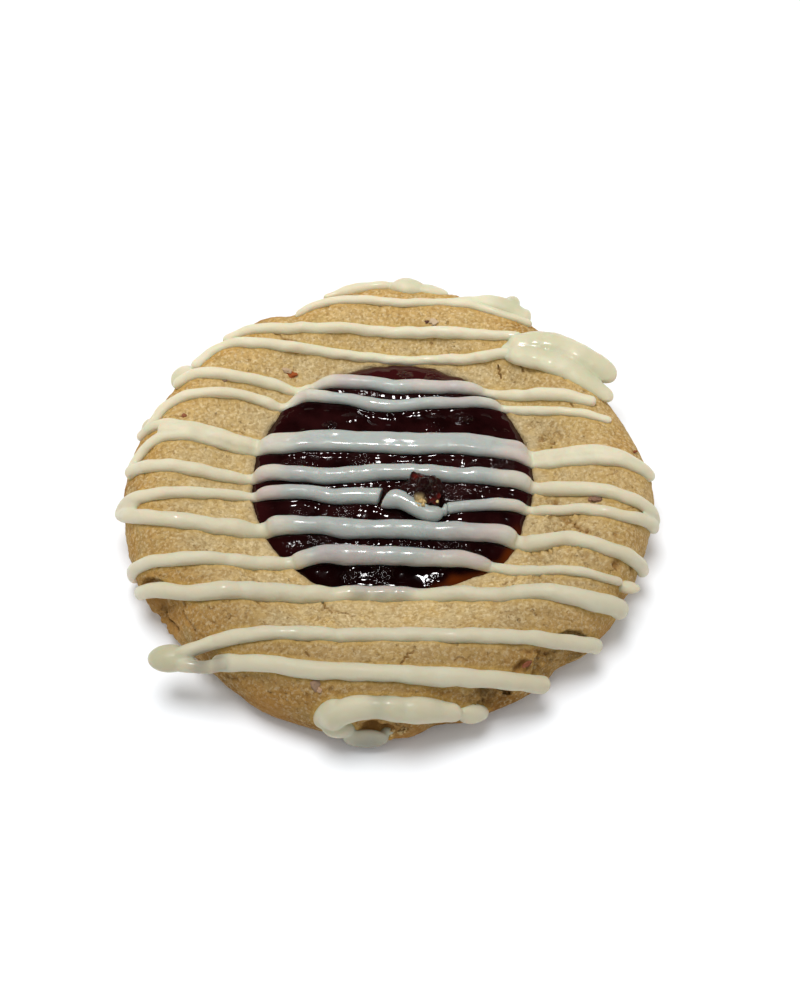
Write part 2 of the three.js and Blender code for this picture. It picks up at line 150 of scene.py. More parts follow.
FRONT_LINES = {
    "tenth": ((2, 2.5, 1.5), (
        (-42.6, -15.6), (-36, -15.8), (-29.8, -16.4), (-18.4, -15.7), (-10.3, -14.4), (2, -14.9),
        (13, -15.2), (20, -17.3), (28, -18.8), (33.4, -18.8),
    )),
    "eleventh": ((2.1, 3, 2.5, 2.9), (
        (-38.7, -19.3), (-32, -20.5), (-24, -21.9), (-12.5, -20.9), (-4, -20.2), (2, -20.3),
        (9.2, -20.8), (18.4, -21.8), (27, -22.7), (38, -22.3),
    )),
    "twelfth": ((2.1, 2.3, 2.2), (
        (-24, -29.2), (-20, -28.9), (-10, -28.8), (2, -28.7), (14, -29.3), (26, -28.9),
        (32.3, -29.1),
    )),
    "left_lower": ((2.1, 1.9, 2.2), (
        (-22.8, -32.2, 8.8), (-25.1, -32.4, 8.3), (-28.4, -31.6, 7.9),
    )),
    "thirteenth": ((2.5, 2.6, 2.6), (
        (-23.9, -32.2), (-18, -32.9), (-11.8, -34.1), (-2, -35), (10, -35.2), (18, -35.3),
        (22.7, -35.7),
    )),
    "front_edge": ((3.8, 3.3, 3.4, 3.7, 3), (
        (-7.8, -40.9), (-6, -40.1), (-3, -39.4), (1.5, -39.7), (6, -39.9), (9, -40.3),
    )),
}

# Thick drips that ran together over the edge, each lobe with its widths and route.
BACK_DRIP = {
    "drip_upper": ((4.4, 4.6, 4.4, 4.2), (
        (20.9, 24.2, 11.2), (24.2, 24.3, 11.3), (28, 23, 10.9), (31.5, 21.1, 10.3),
        (33.6, 19.8, 9.7),
    )),
    "drip_lower": ((4.2, 4.1, 3.6, 2.8), (
        (20.7, 21.9, 11.1), (23.5, 21, 11.3), (26.8, 19.5, 11.1), (29.8, 17.7, 10.6),
        (33.4, 15.3, 9.6),
    )),
}
EDGE_DRIP = {
    "edge_drip": ((1.2, 2.2, 3.4, 3.4), (
        (9, 34.2, 10.8), (13.4, 34, 10.7), (17.8, 33.5, 10.2), (21.2, 32, 9.3),
    )),
}
DRIP_FLATNESS = 0.3

# Lines that reach out past the surface before they land on it.
LEADS = {"twelfth": ((-30.4, -30.7, 8), (-27.2, -29.9, 8.9))}
# How much wider a line swells where it lies on the jam.
SWELLS = {
    "fourth": 0.24, "fifth": 0.14, "seventh": 0.16, "eighth": 0.16, "tenth": 0.16,
    "sixth_upper": 0.1, "sixth_lower": 0.1,
}

# Larger spots of icing: middle, half lengths along and across, half height, turn in degrees.
BACK_DRIP_SPOTS = (((21.1, 22.9, 11), (3.7, 2.5), 1.25, -12),)
EDGE_DRIP_SPOTS = (
    ((19.8, 34.3, 9.9), (1.4, 1.8), 0.9, -20), ((21.7, 32, 9.2), (1.2, 1.9), 0.9, -20),
)
BACK_SPOTS = (
    ((3.4, 38.8), (3.1, 2.9), 1.7, -4), ((7, 38), (3, 2.2), 1.2, -8),
    ((-31.7, 19.6, 8.9), (2, 2.4), 1.5, -30), ((-36.2, 10, 7.6), (1.5, 2.4), 1.1, 10),
)
MIDDLE_SPOTS = (((-38.6, -5.3), (2.6, 1.3), 0.9, 0),)
BROKEN_SPOTS = (((8.3, -7.1, 10.6), (0.4, 1), 1, 0), ((6.4, -7.9, 10.6), (1.4, 1.4), 1.2, 0))
FRONT_SPOTS = (
    ((-30.1, -30.6, 8), (3.1, 2.1), 1.5, 0), ((-8.2, -40.8), (3, 2), 1.4, 38),
    ((-6.7, -39.9, 5.2), (2.3, 1.3), 1.8, 0), ((-3, -40.4, 3.1), (3.2, 0.7), 2.3, 0),
    ((0, -39.7, 4), (1, 0.5), 0.7, 0), ((34.1, -18.2, 7.1), (2, 1), 0.8, -10),
    ((12.8, -41.1), (2.8, 1.7), 1.2, -8),
)
# Lines that were cut or broken: how far the lower side runs on past the middle, at the start
# and at the end. The other ends are round.
CUTS = {
    "eighth": (None, -0.45), "broken_piece": (-0.75, None), "eighth_rest": (0, None),
    "twelfth": (None, 0.1),
}
# Thick, yellower icing and thin, greyer icing: middle and reach. The last thick spot, on the drip
# at the front edge, is painted shade.
THICK_AND_SHADED = (
    (24, 23, 11, 8), (31, 19, 10, 8), (19.5, 33.6, 10, 5), (4.6, 38.5, 9, 5.5), (-31, -30.8, 8, 5),
    (-8, -38.5, 6, 5), (-32.5, 19, 9, 3), (-36.5, 10, 8, 3), (0, -38.3, 7.6, 6),
)
THIN = (
    (-3.6, -21.2, 10.5, 3), (-1, -21.2, 10.5, 3), (1.6, -21.2, 10.5, 3), (-25.5, -32, 9, 3),
    (-23.2, -32, 9, 2.5), (-2.6, -40.6, 2.6, 6), (-1, -38.3, 9, 3),
)

CRUMB_CENTRE = Vector((5.3, -4.3, 11.3))
CRUMB_HALF = Vector((3, 2.8, 2.3))

# ---- Surface of the dough and the jam ----


def clamp01(t):
    return min(1, max(0, t))


def ease(t, low=0, high=1):
    t = clamp01((t - low) / (high - low))
    return t * t * (3 - 2 * t)


def waver(place, pitch, *shift):
    """Smooth random value at a place, about -1 to 1, with a pitch in waves per millimetre."""
    return noise.noise(place * pitch + Vector(shift or (0, 0, 0)))


def bearing(angle):
    """Level direction at an angle."""
    return Vector((cos(angle), sin(angle), 0))


def polar(x, y):
    """Distance and angle from the middle."""
    return hypot(x, y), atan2(y, x)


def around_the_ring(offsets, angle):
    """Smooth closed reading of offsets spread evenly round the circle."""
    place = (angle / tau) % 1 * len(offsets)
    index = int(place) % len(offsets)
    blend = ease(place - int(place))
    return offsets[index] * (1 - blend) + offsets[(index + 1) % len(offsets)] * blend


def bite_depth(angle, z):
    depth = 0
    for middle, width, deep, start in BITES:
        turn = angle - radians(middle)
        apart = abs(atan2(sin(turn), cos(turn)))
        if z >= start:
            depth += deep * ease(1 - apart / radians(width))
    return depth


def outline_scale(angle, share):
    """Reach of the uneven form against the true one: the shore's at share 0, the rim's at 1."""
    shore = 1 + around_the_ring(SHORE_OFFSETS, angle) / SHORE
    rim = 1 + around_the_ring(RIM_OFFSETS, angle) / RIM
    return shore * (1 - share) + rim * share


def unevenness(x, y):
    """Slow swells of the surface of the dough."""
    broad = sin(x * 0.43 + 1.3) * sin(y * 0.37 + 0.4)
    fine = sin(x * 1.21 + y * 0.53) * sin(y * 1.07 - x * 0.31 + 2)
    return 0.16 * broad + 0.13 * fine


def rim_share(radius):
    return ease(radius, GROOVE + 1, CREST - 2)


def settle(radius, angle, z):
    """Moves a point from the true circular form to the uneven one."""
    share = rim_share(radius)
    real = radius * outline_scale(angle, share) - share * bite_depth(angle, z)
    return Vector((
        real * cos(angle) + JAM_X * (1 - share),
        real * sin(angle) + JAM_Y * (1 - share),
        z,
    ))


def nominal_radius(x, y):
    """Radius on the true circular form of a place seen from above."""
    radius = hypot(x, y)
    for _ in range(3):
        share = rim_share(radius)
        reach, angle = polar(x - JAM_X * (1 - share), y - JAM_Y * (1 - share))
        radius = reach / outline_scale(angle, share)
    return radius


def jam_height(radius):
    inward = max(0, 1 - (radius / SHORE) ** JAM_FLATNESS)
    return SHORE_Z + JAM_DOME * inward ** JAM_EDGE


def dough_height(radius):
    if radius > CREST:
        across = clamp01((radius - CREST) / SHOULDER)
        return RIM_Z + (CREST_Z - RIM_Z) * sqrt(1 - across * across)
    rise = ease(radius, GROOVE - 0.6, CREST)
    return GROOVE_Z + (CREST_Z - GROOVE_Z) * rise


def top_height(x, y):
    radius = nominal_radius(x, y)
    if radius < SHORE:
        return jam_height(radius)
    return dough_height(radius) + unevenness(x, y)


def drape(x, y, nudge=0.4):
    """Where walking x, y over the surface and on down the side leads, and the way out there."""
    walked, angle = polar(x, y)
    crest = CREST * outline_scale(angle, 1) - bite_depth(angle, CREST_Z)
    if walked <= crest:
        slope_x = top_height(x + nudge, y) - top_height(x - nudge, y)
        slope_y = top_height(x, y + nudge) - top_height(x, y - nudge)
        out = Vector((-slope_x, -slope_y, 2 * nudge)).normalized()
        return Vector((x, y, top_height(x, y))), out
    turn = (walked - crest) / SHOULDER
    away = bearing(angle)
    place = away * (crest + SHOULDER * sin(turn))
    place.z = RIM_Z + (CREST_Z - RIM_Z) * cos(turn) + unevenness(*place.xy)
    return place, away * sin(turn) + UP * cos(turn)


def painted_shade_side(place):
    """How far a place lies towards the front, which is painted in shade, from 0 to 1."""
    return ease(0.05 * place.x - 0.97 * place.y, -24, 37)


# ---- Making forms ----


def placed(name, data):
    """A new object in the scene."""
    thing = bpy.data.objects.new(name, data)
    scene.collection.objects.link(thing)
    return thing


def mesh_of(form, name):
    """Ends a form and gives its mesh."""
    mesh = bpy.data.meshes.new(name)
    form.to_mesh(mesh)
    form.free()
    return mesh


def finished(form, name, finish, nodes):
    """Turns a form in millimetres into a named piece of the biscuit."""
    bmesh.ops.scale(form, vec=(MM, MM, MM), verts=form.verts[:])
    for vert in form.verts:
        vert.co = [min(max(at, low), high) for at, low, high in zip(vert.co, cad_low, cad_high)]
    for face in form.faces:
        face.smooth = True
    piece = placed(name, mesh_of(form, name))
    piece.data.materials.append(finish)
    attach(piece, "root")
    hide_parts(*nodes)


def ball(fineness):
    form = bmesh.new()
    bmesh.ops.create_icosphere(form, subdivisions=fineness, radius=1)
    return form


def stored(form, *names):
    """New values stored on the surface of a form."""
    return [form.verts.layers.float.new(name) for name in names]


def spun(profile, steps):
    """Turns a half section of (radius, z) points about the upright axis."""
    form = bmesh.new()
    points = [form.verts.new((radius, 0, z)) for radius, z in profile]
    for start, end in zip(points, points[1:]):
        form.edges.new((start, end))
    bmesh.ops.spin(
        form, geom=form.verts[:] + form.edges[:], cent=(0, 0, 0), axis=(0, 0, 1),
        angle=tau, steps=steps, use_merge=True,
    )
    bmesh.ops.remove_doubles(form, verts=form.verts[:], dist=1e-4)
    bmesh.ops.recalc_face_normals(form, faces=form.faces[:])
    return form


def tree_of(places):
    """Finds the nearest of many places."""
    tree = kdtree.KDTree(len(places))
    for index, place in enumerate(places):
        tree.insert(place, index)
    tree.balance()
    return tree


def marked(form, tree, **tables):
    """Stores on the surface how close it is to the nearest of the spots in each table."""
    for name, spots in tables.items():
        layer, = stored(form, name)
        form.verts.ensure_lookup_table()
        for *middle, reach in spots:
            for co, index, distance in tree.find_range(middle, reach):
                vert = form.verts[index]
                vert[layer] = max(vert[layer], ease(1 - distance / reach))


def on_curve(a, b, c, d, share):
    """A place between b and c on the smooth curve through a, b, c and d."""
    knots = [0]
    for start, end in ((a, b), (b, c), (c, d)):
        knots.append(knots[-1] + sqrt(max((end - start).length, 1e-6)))
    t = knots[1] + (knots[2] - knots[1]) * share

    def between(p, q, low, high):
        return p.lerp(q, (t - knots[low]) / (knots[high] - knots[low]))

    first = between(between(a, b, 0, 1), between(b, c, 1, 2), 0, 2)
    second = between(between(b, c, 1, 2), between(c, d, 2, 3), 1, 3)
    return between(first, second, 1, 2)


def smooth_route(points, spacing, fineness=24):
    """Evenly spaced places on a smooth curve through the points."""
    points = [Vector((*point, 0)[:3]) for point in points]
    padded = [2 * points[0] - points[1], *points, 2 * points[-1] - points[-2]]
    fine = []
    for a, b, c, d in zip(padded, padded[1:], padded[2:], padded[3:]):
        fine += [on_curve(a, b, c, d, step / fineness) for step in range(fineness)]
    fine.append(points[-1])
    walked = [0]
    for start, end in zip(fine, fine[1:]):
        walked.append(walked[-1] + (end - start).length)
    count = max(2, round(walked[-1] / spacing))
    route, index = [], 0
    for step in range(count + 1):
        target = walked[-1] * step / count
        while index < len(walked) - 2 and walked[index + 1] < target:
            index += 1
        share = (target - walked[index]) / max(walked[index + 1] - walked[index], 1e-9)
        route.append(fine[index].lerp(fine[index + 1], clamp01(share)))
    return route, walked[-1]


def even_reading(values, share):
    """Smooth reading of a row of values at a share of its length."""
    place = clamp01(share) * (len(values) - 1)
    index = min(int(place), len(values) - 2)
    return values[index] + (values[index + 1] - values[index]) * ease(place - index)


# ---- Dough ----

DOUGH_STEPS = 620
LOWER_ROWS, UPPER_ROWS, SLOPE_ROWS = 18, 40, 44

# Cracks and torn edges: depth, width and route seen from above.
CRACKS = (
    (0.45, 0.3, ((-9.3, -21.7), (-7.8, -23.7), (-6.6, -23.8), (-4.6, -24.5))),
    (0.45, 0.3, ((1.8, -33.5), (2.7, -32.3), (3.5, -31.4))),
    (0.35, 0.28, ((9, -32.8), (9.9, -32.5), (10.9, -33))),
    (0.3, 0.28, ((15.8, -25.1), (16.9, -25), (18, -24.7))),
    (0.6, 0.3, ((17.2, 21.4), (17.3, 20.4), (17.6, 19.4))),
    (0.45, 0.3, ((20.5, 20.6), (21.1, 19.6))), (0.45, 0.3, ((27.7, 12.8), (28, 12))),
    (0.4, 0.35, ((-17.7, 26.6), (-16.2, 25.7), (-14.1, 25.6))),
    (0.5, 0.8, ((25, -7.4), (25.6, -8.2), (26.3, -9), (27, -9.6), (27.6, -10.9), (28.5, -11.4))),
    (0.35, 0.28, ((-18, -23.1), (-17.5, -23.8))), (0.3, 0.28, ((-19.6, -26), (-19.4, -25.5))),
    (0.5, 0.6, ((-29.6, -20.9), (-29.4, -22.9), (-29.9, -24.2), (-28.7, -25.9), (-27.7, -27.3))),
    (0.3, 0.28, ((-17, -26.8), (-16.5, -27.5))), (0.4, 0.3, ((-11.2, -31.6), (-10.6, -32.3))),
    (0.5, 0.3, ((25.9, -14.6), (26.1, -15.7))), (0.5, 0.35, ((18.1, -18), (17.7, -19))),
    (0.5, 0.3, ((16.3, -18.9), (17, -18.6))),
    (0.5, 0.7, ((18.3, -30.9), (19.4, -31.2), (20.7, -30.8), (21.7, -31.1), (23.4, -30.9))),
    (0.45, 0.4, ((21, -31.2), (21.3, -32.4), (21.9, -33.5), (22.2, -34.6))),
)
# Pits: place seen from above, radius and depth.
PITS = (
    (24.5, -4.6, 0.7, 0.7), (28.4, -11.2, 0.5, 0.6), (32.7, -11.7, 0.5, 0.5),
    (25.6, -14.7, 0.35, 0.4), (24.4, -15.6, 0.35, 0.3), (28.2, -15.8, 0.35, 0.4),
    (32.9, -16.4, 1, 0.8), (20.9, -18.9, 0.35, 0.3), (-24.3, -26.5, 0.35, 0.5),
    (-34.3, -14.3, 0.4, 0.4), (-27.2, -14.2, 0.4, 0.4), (-22.8, -14.5, 0.4, 0.4),
    (-21.2, -14.5, 0.4, 0.4), (-28.6, -17.9, 0.5, 0.4), (-25.9, -19.2, 0.35, 0.3),
    (-18.8, -18.9, 0.45, 0.4), (-23.5, -18.1, 0.3, 0.3), (-16.9, 9.3, 0.35, 0.4),
    (-15.5, 9.7, 0.4, 0.4), (-22.2, 7.2, 0.4, 0.5), (-23.5, 9.4, 0.35, 0.3), (-21.1, 13, 0.4, 0.4),
    (16.2, -32.7, 0.4, 0.4), (23.2, 7.5, 0.6, 0.5), (37.4, 4.6, 0.5, 0.4), (34.5, 4.4, 0.5, 0.4),
    (19, -33.3, 1.1, 1.3), (18.2, -33.8, 0.9, 1), (-26.1, -24.7, 0.4, 0.3),
)
# Hollows in the edge: middle, reach and depth.
HOLLOWS = (
    ((-2.2, -40, 5.4), 2, 2.1), ((-0.2, -40.2, 5.1), 1.7, 1.8), ((34.6, -14.8, 7.6), 1.4, 0.9),
)
# Pieces knocked off the edge: middle, reach and depth.
NOTCHES = (
    ((25.3, -30.6, 6.5), 1.5, 0.9), ((22.8, -32.4, 6), 1.5, 0.8), ((16, -35.6, 4.5), 2.2, 0.8),
    ((-31.2, -24.1, 5), 1.6, 0.7), ((-30.4, -22.4, 9), 1.2, 0.5), ((29.6, -27.2, 5.5), 1.4, 0.6),
)
# Flat places where dough broke off: a place on the surface, the lean of the break and its depth.
BREAKS = (
    ((22.3, -32.8), (-0.45, 0, 0.1), 0.75), ((25.3, -32.2), (0.3, -0.1, -0.1), 0.6),
    ((23.9, -31.2), (0.1, 0, 0.4), 0.5), ((20, -35.4), (-0.35, 0, 0.2), 0.5),
    ((16.6, -37.2), (0.2, 0, 0.4), 0.6), ((-33.8, -23.4), (-0.1, -0.1, 0.3), 0.7),
)
# Torn and craggy places: middle and reach.
TORN = (
    (23.6, -31.2, 6.5, 4.2), (27.6, -29, 5.5, 2.4), (-33, -21.8, 5, 5.4), (0.8, -39.6, 4.5, 4.2),
    (-18, 34.6, 6.5, 2.6), (8, -39.6, 3.5, 3.4), (14, -37, 6.5, 3.6), (33.5, -25, 4.5, 3.2),
    (25.6, -30.5, 6.6, 4.4),
)
# Crust that baked browner: middle and reach.
CRUST = (
    (-34.5, -19, 5, 6), (-32, -23.5, 5, 5), (35, -20, 5, 4.4), (32, -25.5, 4.5, 4),
    (25, -31, 4, 2.8), (2, -39.5, 2.5, 5), (13, -37.5, 4, 4), (-20, 34, 6, 6),
    (-1.2, -39.5, 5, 3.2), (-17, -38, 4, 6),
)
# Places where the surface broke into coarse crumbs: middle and reach.
COARSE = (
    (25.6, -8.8, 10.5, 4.5), (28.4, -13.6, 11, 4), (23.2, -5, 9.8, 3), (22, -13.6, 9.6, 4),
    (21.5, -20, 9.8, 3.5), (13.5, -36.6, 7.5, 4), (24, 7, 10, 3), (-9, -24, 10, 3),
)
CRACK_SPACING, CRACK_BEND = 0.08, 0.35
HAIR_CRACKS, HAIR_STEP, HAIR_WIDTH = 90, 0.1, 0.17
SMALL_PITS = 300
# Waves of the baked surface: height, waves per millimetre and shift.
CRUMB_WAVES = (
    (0.22, 0.14, 0, 0, 0), (0.12, 0.42, 7, 3, 1), (0.08, 1.05, 1, 9, 4), (0.08, 2.1, 5, 2, 8),
)


def dough_profile():
    """Half section: underside, round the rim, over the crest, into the well."""
    profile = [(0, 0), (18, 0), (30, 0), (BASE - 1, 0)]
    for row in range(LOWER_ROWS):
        turn = row / LOWER_ROWS * tau / 4
        profile.append((BASE + (RIM - BASE) * sin(turn), RIM_Z * (1 - cos(turn))))
    for row in range(UPPER_ROWS):
        turn = row / UPPER_ROWS * tau / 4
        profile.append((CREST + SHOULDER * cos(turn), RIM_Z + (CREST_Z - RIM_Z) * sin(turn)))
    for row in range(SLOPE_ROWS + 1):
        radius = CREST + (GROOVE - CREST) * row / SLOPE_ROWS
        profile.append((radius, dough_height(radius)))
    profile += [(21.8, 8.1), (21.6, 7.9), (WELL, WELL_WALL_Z)]
    profile += [(WELL_FLOOR, WELL_FLOOR_Z), (0, WELL_FLOOR_Z)]
    return profile


def crumb_relief(place):
    """Humps, lumps and grains of the baked surface."""
    return sum(height * waver(place, *wave) for height, *wave in CRUMB_WAVES)


def chunks(place, size):
    """Broken chunks of a size in millimetres, 0 in the gaps between them and 1 on top."""
    wander = noise.noise_vector(place * 0.9) * 0.35
    near, far = noise.voronoi((place + wander) / size)[0][:2]
    return ease(far - near, 0, 0.2)


def torn_relief(place):
    """Broken facets, chunks and flakes."""
    facets = abs(waver(place, 0.52, 2, 2, 7))
    flakes = waver(place, 1.7, 3, 8, 2)
    return 1.5 * facets + 0.6 * chunks(place, 2.3) + 0.3 * flakes - 1


def coarse_relief(place):
    """Coarse crumbs with gaps between them."""
    crumbs = abs(waver(place, 1.3, 6, 1, 2))
    return 0.5 * crumbs + 0.36 * chunks(place, 1.3) + 0.2 * waver(place, 2.6) - 0.45


def dig(push, tree, at, reach, depth):
    """Pushes in the surface within reach of a place, deepest in the middle."""
    for co, index, distance in tree.find_range(at, reach):
        push[index] = max(push[index], depth * ease(1 - distance / reach))


def break_planes():
    """A point and an outward direction for each flat break."""
    planes = []
    for (x, y), lean, depth in BREAKS:
        place, out = drape(x, y)
        out = (out + Vector(lean)).normalized()
        planes.append((place - out * depth, out))
    return planes


def broken_off(place, planes, near=7):
    """A place moved back to the nearest flat breaks that it stands out of."""
    for point, out in planes:
        over = (place - point).dot(out)
        if over > 0 and (place - point).length < near:
            place = place - out * over
    return place


def crack_places():
    """Places along the cracks, each with a width and a depth."""
    places = []
    for depth, width, route in CRACKS:
        for place in smooth_route(route, CRACK_SPACING)[0]:
            bend = Vector((waver(place, 1.9), waver(place, 1.9, 0, 0, 5), 0)) * CRACK_BEND
            x, y, _ = place + bend
            taper = 0.8 + 0.5 * waver(place, 1.3)
            places.append((drape(x, y)[0], width * 0.75, depth * taper))
    draw = random.Random(11)
    for _ in range(HAIR_CRACKS):
        angle = draw.uniform(0, tau)
        walked = draw.uniform(23, 43)
        heading = draw.uniform(0, tau)
        at = Vector((walked * cos(angle), walked * sin(angle), 0))
        depth = draw.uniform(0.06, 0.24)
        for _ in range(draw.randint(6, 22)):
            heading += draw.uniform(-0.7, 0.7)
            at += bearing(heading) * HAIR_STEP
            places.append((drape(*at.xy)[0], HAIR_WIDTH, depth))
    return places


def refined(form, places):
    """Makes the surface finer beside some places."""
    tree = tree_of([place for place, reach, depth in places])
    for reach in (0.4, 0.25):
        edges = []
        for edge in form.edges:
            middle = (edge.verts[0].co + edge.verts[1].co) / 2
            if middle.z > 1 and tree.find(middle)[2] < reach:
                edges.append(edge)
        bmesh.ops.subdivide_edges(form, edges=edges, cuts=1, use_grid_fill=True)


def plain_ring():
    """The ring before it cracks, with how far each place has browned and painted light that leaves
    the right side paler.
    """
    form = spun(dough_profile(), DOUGH_STEPS)
    browning_and_painted_light, = stored(form, "browning_and_painted_light")
    for vert in form.verts:
        radius, angle = polar(*vert.co.xy)
        z = vert.co.z
        middle_bake = 0.15 + 0.3 * ease(vert.co.y, -26, 30)
        vert[browning_and_painted_light] = middle_bake * ease(radius, 23, 32) + 0.65 * ease(radius, 31, 40)
        if z < RIM_Z:
            vert[browning_and_painted_light] = 1
        # Painted light: the right side is made paler.
        vert[browning_and_painted_light] *= 1 - 0.35 * ease(cos(angle), 0.5, 0.95)
        vert.co = settle(radius, angle, z)
        if z > RIM_Z and radius > WELL + 0.1:
            vert.co.z += unevenness(*vert.co.xy)
    return form


def dug_in(tree, count, cracks):
    """How deep each vertex lies in cracks, pits and hollows, and in notches."""
    push, notch = [0] * count, [0] * count
    for crack in cracks:
        dig(push, tree, *crack)
    for x, y, reach, depth in PITS:
        dig(push, tree, drape(x, y)[0], reach * 1.2, depth)
    for shaded_hollow in HOLLOWS:
        dig(push, tree, *shaded_hollow)
    for knock in NOTCHES:
        dig(notch, tree, *knock)
    draw = random.Random(5)
    for _ in range(SMALL_PITS):
        angle = draw.uniform(0, tau)
        walked = draw.uniform(22.5, 44)
        at = drape(walked * cos(angle), walked * sin(angle))[0]
        dig(push, tree, at, draw.uniform(0.3, 0.48), draw.uniform(0.1, 0.3))
    return push, notch


def dough_form(icing_tree):
    form = plain_ring()
    cracks = crack_places()
    refined(form, cracks)
    form.normal_update()
    tree = tree_of([vert.co for vert in form.verts])
    marked(form, tree, crust=CRUST, torn=TORN, coarse=COARSE)
    push, notch = dug_in(tree, len(form.verts), cracks)
    planes = break_planes()
    shaded_hollow, painted_icing_shade, deep, damp = stored(form, "shaded_hollow", "painted_icing_shade", "deep", "damp")
    torn, coarse = (form.verts.layers.float[name] for name in ("torn", "coarse"))
    for index, vert in enumerate(form.verts):
        if vert.co.z < 0.01:
            continue
        place = vert.co.copy()
        if vert[torn] > 0:
            place = broken_off(place, planes)
        lift = crumb_relief(place)
        gap = 0
        if vert[torn] > 0:
            broken = torn_relief(place)
            lift += vert[torn] * broken
            gap = 0.3 * ease(vert[torn], 0, 0.4) * ease(-broken, 0.4, 0.9)
        if vert[coarse] > 0:
            broken = coarse_relief(place)
            lift += ease(vert[coarse], 0, 0.4) * broken
            gap = max(gap, ease(vert[coarse], 0, 0.4) * ease(-broken, 0.12, 0.4))
        if place.z < RIM_Z:
            lift *= place.z / RIM_Z * 1.6
        radius = nominal_radius(*place.xy)
        wander = 0.8 * waver(place, 0.4)
        vert[damp] = 1 - ease(radius + wander, SHORE + 0.4, SHORE + 2.4)
        # Painted shade: the dough is darkened towards the front, less at the far sides, and a
        # little towards the right.
        spared = 1 - 0.3 * ease(place.x, 12, 28) - 0.2 * ease(-place.x, 20, 34)
        vert[deep] = painted_shade_side(place) * (0.08 + 0.92 * ease(radius, 25.5, 35)) * spared
        vert[deep] = max(vert[deep], 0.22 * ease(place.x, 12, 26))
        # Painted shade in cracks, pits, hollows and the gaps between broken chunks.
        vert[shaded_hollow] = clamp01(push[index] * 1.9 + gap * 0.5)
        # Painted shade, warm and yellow, on the dough just beside the icing.
        vert[painted_icing_shade] = 1 - ease(icing_tree.find(place)[2], 0.1, 0.85)
        vert.co = place + vert.normal * (lift - push[index] - notch[index])
        vert.co.z = max(vert.co.z, 0)
    return form


# ---- Jam ----

JAM_STEPS, JAM_ROWS = 460, 72
JAM_OUTER = 22.6
# How steeply the jam falls past its shore, and how far it climbs the icing that lies on it.
JAM_FALL, JAM_CLIMB = 1.1, 0.28
JAM_UNDERSIDE, JAM_TAPER = 5.7, 0.3

# Places where the skin of the jam is wrinkled: x, y and reach.
WRINKLES = (
    (-6.3, -6.7, 2.6), (-10.1, -12.1, 3.2), (-0.7, -17.1, 2.4), (9.4, -3.2, 2.6),
    (3.4, -13.3, 3.4), (9.6, -13.3, 3), (-8.8, 9.5, 1.3), (-3.9, 3.1, 2.2), (10.3, 15, 2.6),
    (14.1, 15.2, 1.6), (11.4, 11, 1.8), (17.4, 2.3, 2.2), (-12.8, -6.9, 2.2), (-14.6, 2.3, 1.6),
    (2.6, 20.1, 1.6), (-5.4, -17.8, 1.8),
)


def wrinkles_at(place):
    """How wrinkled the skin of the jam is, from 0 to 1."""
    amount = 0.3 * ease(waver(place, 0.21, 4, 4, 1), 0.1, 0.4)
    for x, y, reach in WRINKLES:
        away = hypot(place.x - x, (place.y - y) * 1.3)
        amount = max(amount, ease(1 - away / reach, 0, 0.6))
    return amount


def jam_relief(place, wrinkled):
    """Smooth swells, with patches of small wrinkles and pulp."""
    broad = waver(place, 0.16, 3, 1, 6)
    lumps = abs(waver(place, 0.5, 8, 2, 5))
    pulp = abs(waver(place, 1.3, 2, 7, 3))
    fine = abs(waver(place, 2.8))
    return 0.25 * broad + 0.3 * lumps + wrinkled * (0.3 * pulp + 0.16 * fine) - 0.25


def jam_form(icing_tree):
    profile = [(JAM_OUTER * (1 - row / JAM_ROWS), 0) for row in range(JAM_ROWS + 1)]
    form = spun(profile, JAM_STEPS)
    edge, thin_edge, wrinkled, deep = stored(form, "edge", "thin_edge", "wrinkled", "deep")
    for vert in form.verts:
        radius, angle = polar(*vert.co.xy)
        vert[edge] = ease(radius, SHORE - 3, SHORE)
        ragged = waver(bearing(angle), 9) * 0.5
        spread = ease(radius, SHORE - 3, SHORE + 0.5) * ragged
        place = settle(radius + spread, angle, 0)
        height = jam_height(min(radius, SHORE))
        height -= JAM_FALL * max(0, radius - SHORE - 0.1)
        calm = 0.35 + 0.65 * (1 - vert[edge])
        vert[wrinkled] = wrinkles_at(place)
        place.z = height + jam_relief(place, vert[wrinkled]) * calm
        beside = Vector((place.x, place.y, place.z + 0.3))
        place.z += JAM_CLIMB * (1 - ease(icing_tree.find(beside)[2], 0.2, 0.9)) * calm
        facing = ease(cos(angle + radians(53)), 0.88, 0.985)
        thinness = ease(radius + ragged * 2, SHORE - 1.1, SHORE + 0.1)
        vert[thin_edge] = thinness * facing
        # Painted shade: the front of the jam is darkened.
        vert[deep] = ease(-place.y, 9, 16.5)
        vert[edge] = max(0.3 * vert[edge], 0.8 * ease(place.y, 15.5, 20.5))
        vert.co = place
    border = [side for side in form.edges if side.is_boundary]
    for item in bmesh.ops.extrude_edge_only(form, edges=border)["geom"]:
        if isinstance(item, bmesh.types.BMVert):
            inward = item.co.lerp(Vector((JAM_X, JAM_Y, 0)), JAM_TAPER)
            item.co = Vector((inward.x, inward.y, JAM_UNDERSIDE))
    bmesh.ops.holes_fill(form, edges=form.edges[:], sides=0)
    bmesh.ops.recalc_face_normals(form, faces=form.faces[:])
    return form


# ---- Icing ----

ICING_VOXEL, ROW_SPACING = 0.2, 0.5
BEAD_SIDES, END_ROWS = 16, 7
CUT_REACH, WIDTH_WANDER = 2, 0.12
# A line lifts where it lies on the jam, and thins and sags where it crosses the shore.
JAM_LIFT, SHORE_THINNING, SHORE_SAG = 0.35, 0.14, 0.4


def row_distances(length, start, end):
    """Where the rows of a line lie along it, closing up over its round ends."""
    quarter = [pi / 2 * step / END_ROWS for step in range(END_ROWS)]
    count = max(4, round(length / ROW_SPACING))
    rows = [-start * cos(turn) for turn in quarter] if start else []
    rows += [length * step / count for step in range(count + 1)]
    if end:
        rows += [length + end * cos(turn) for turn in reversed(quarter)]
    return rows


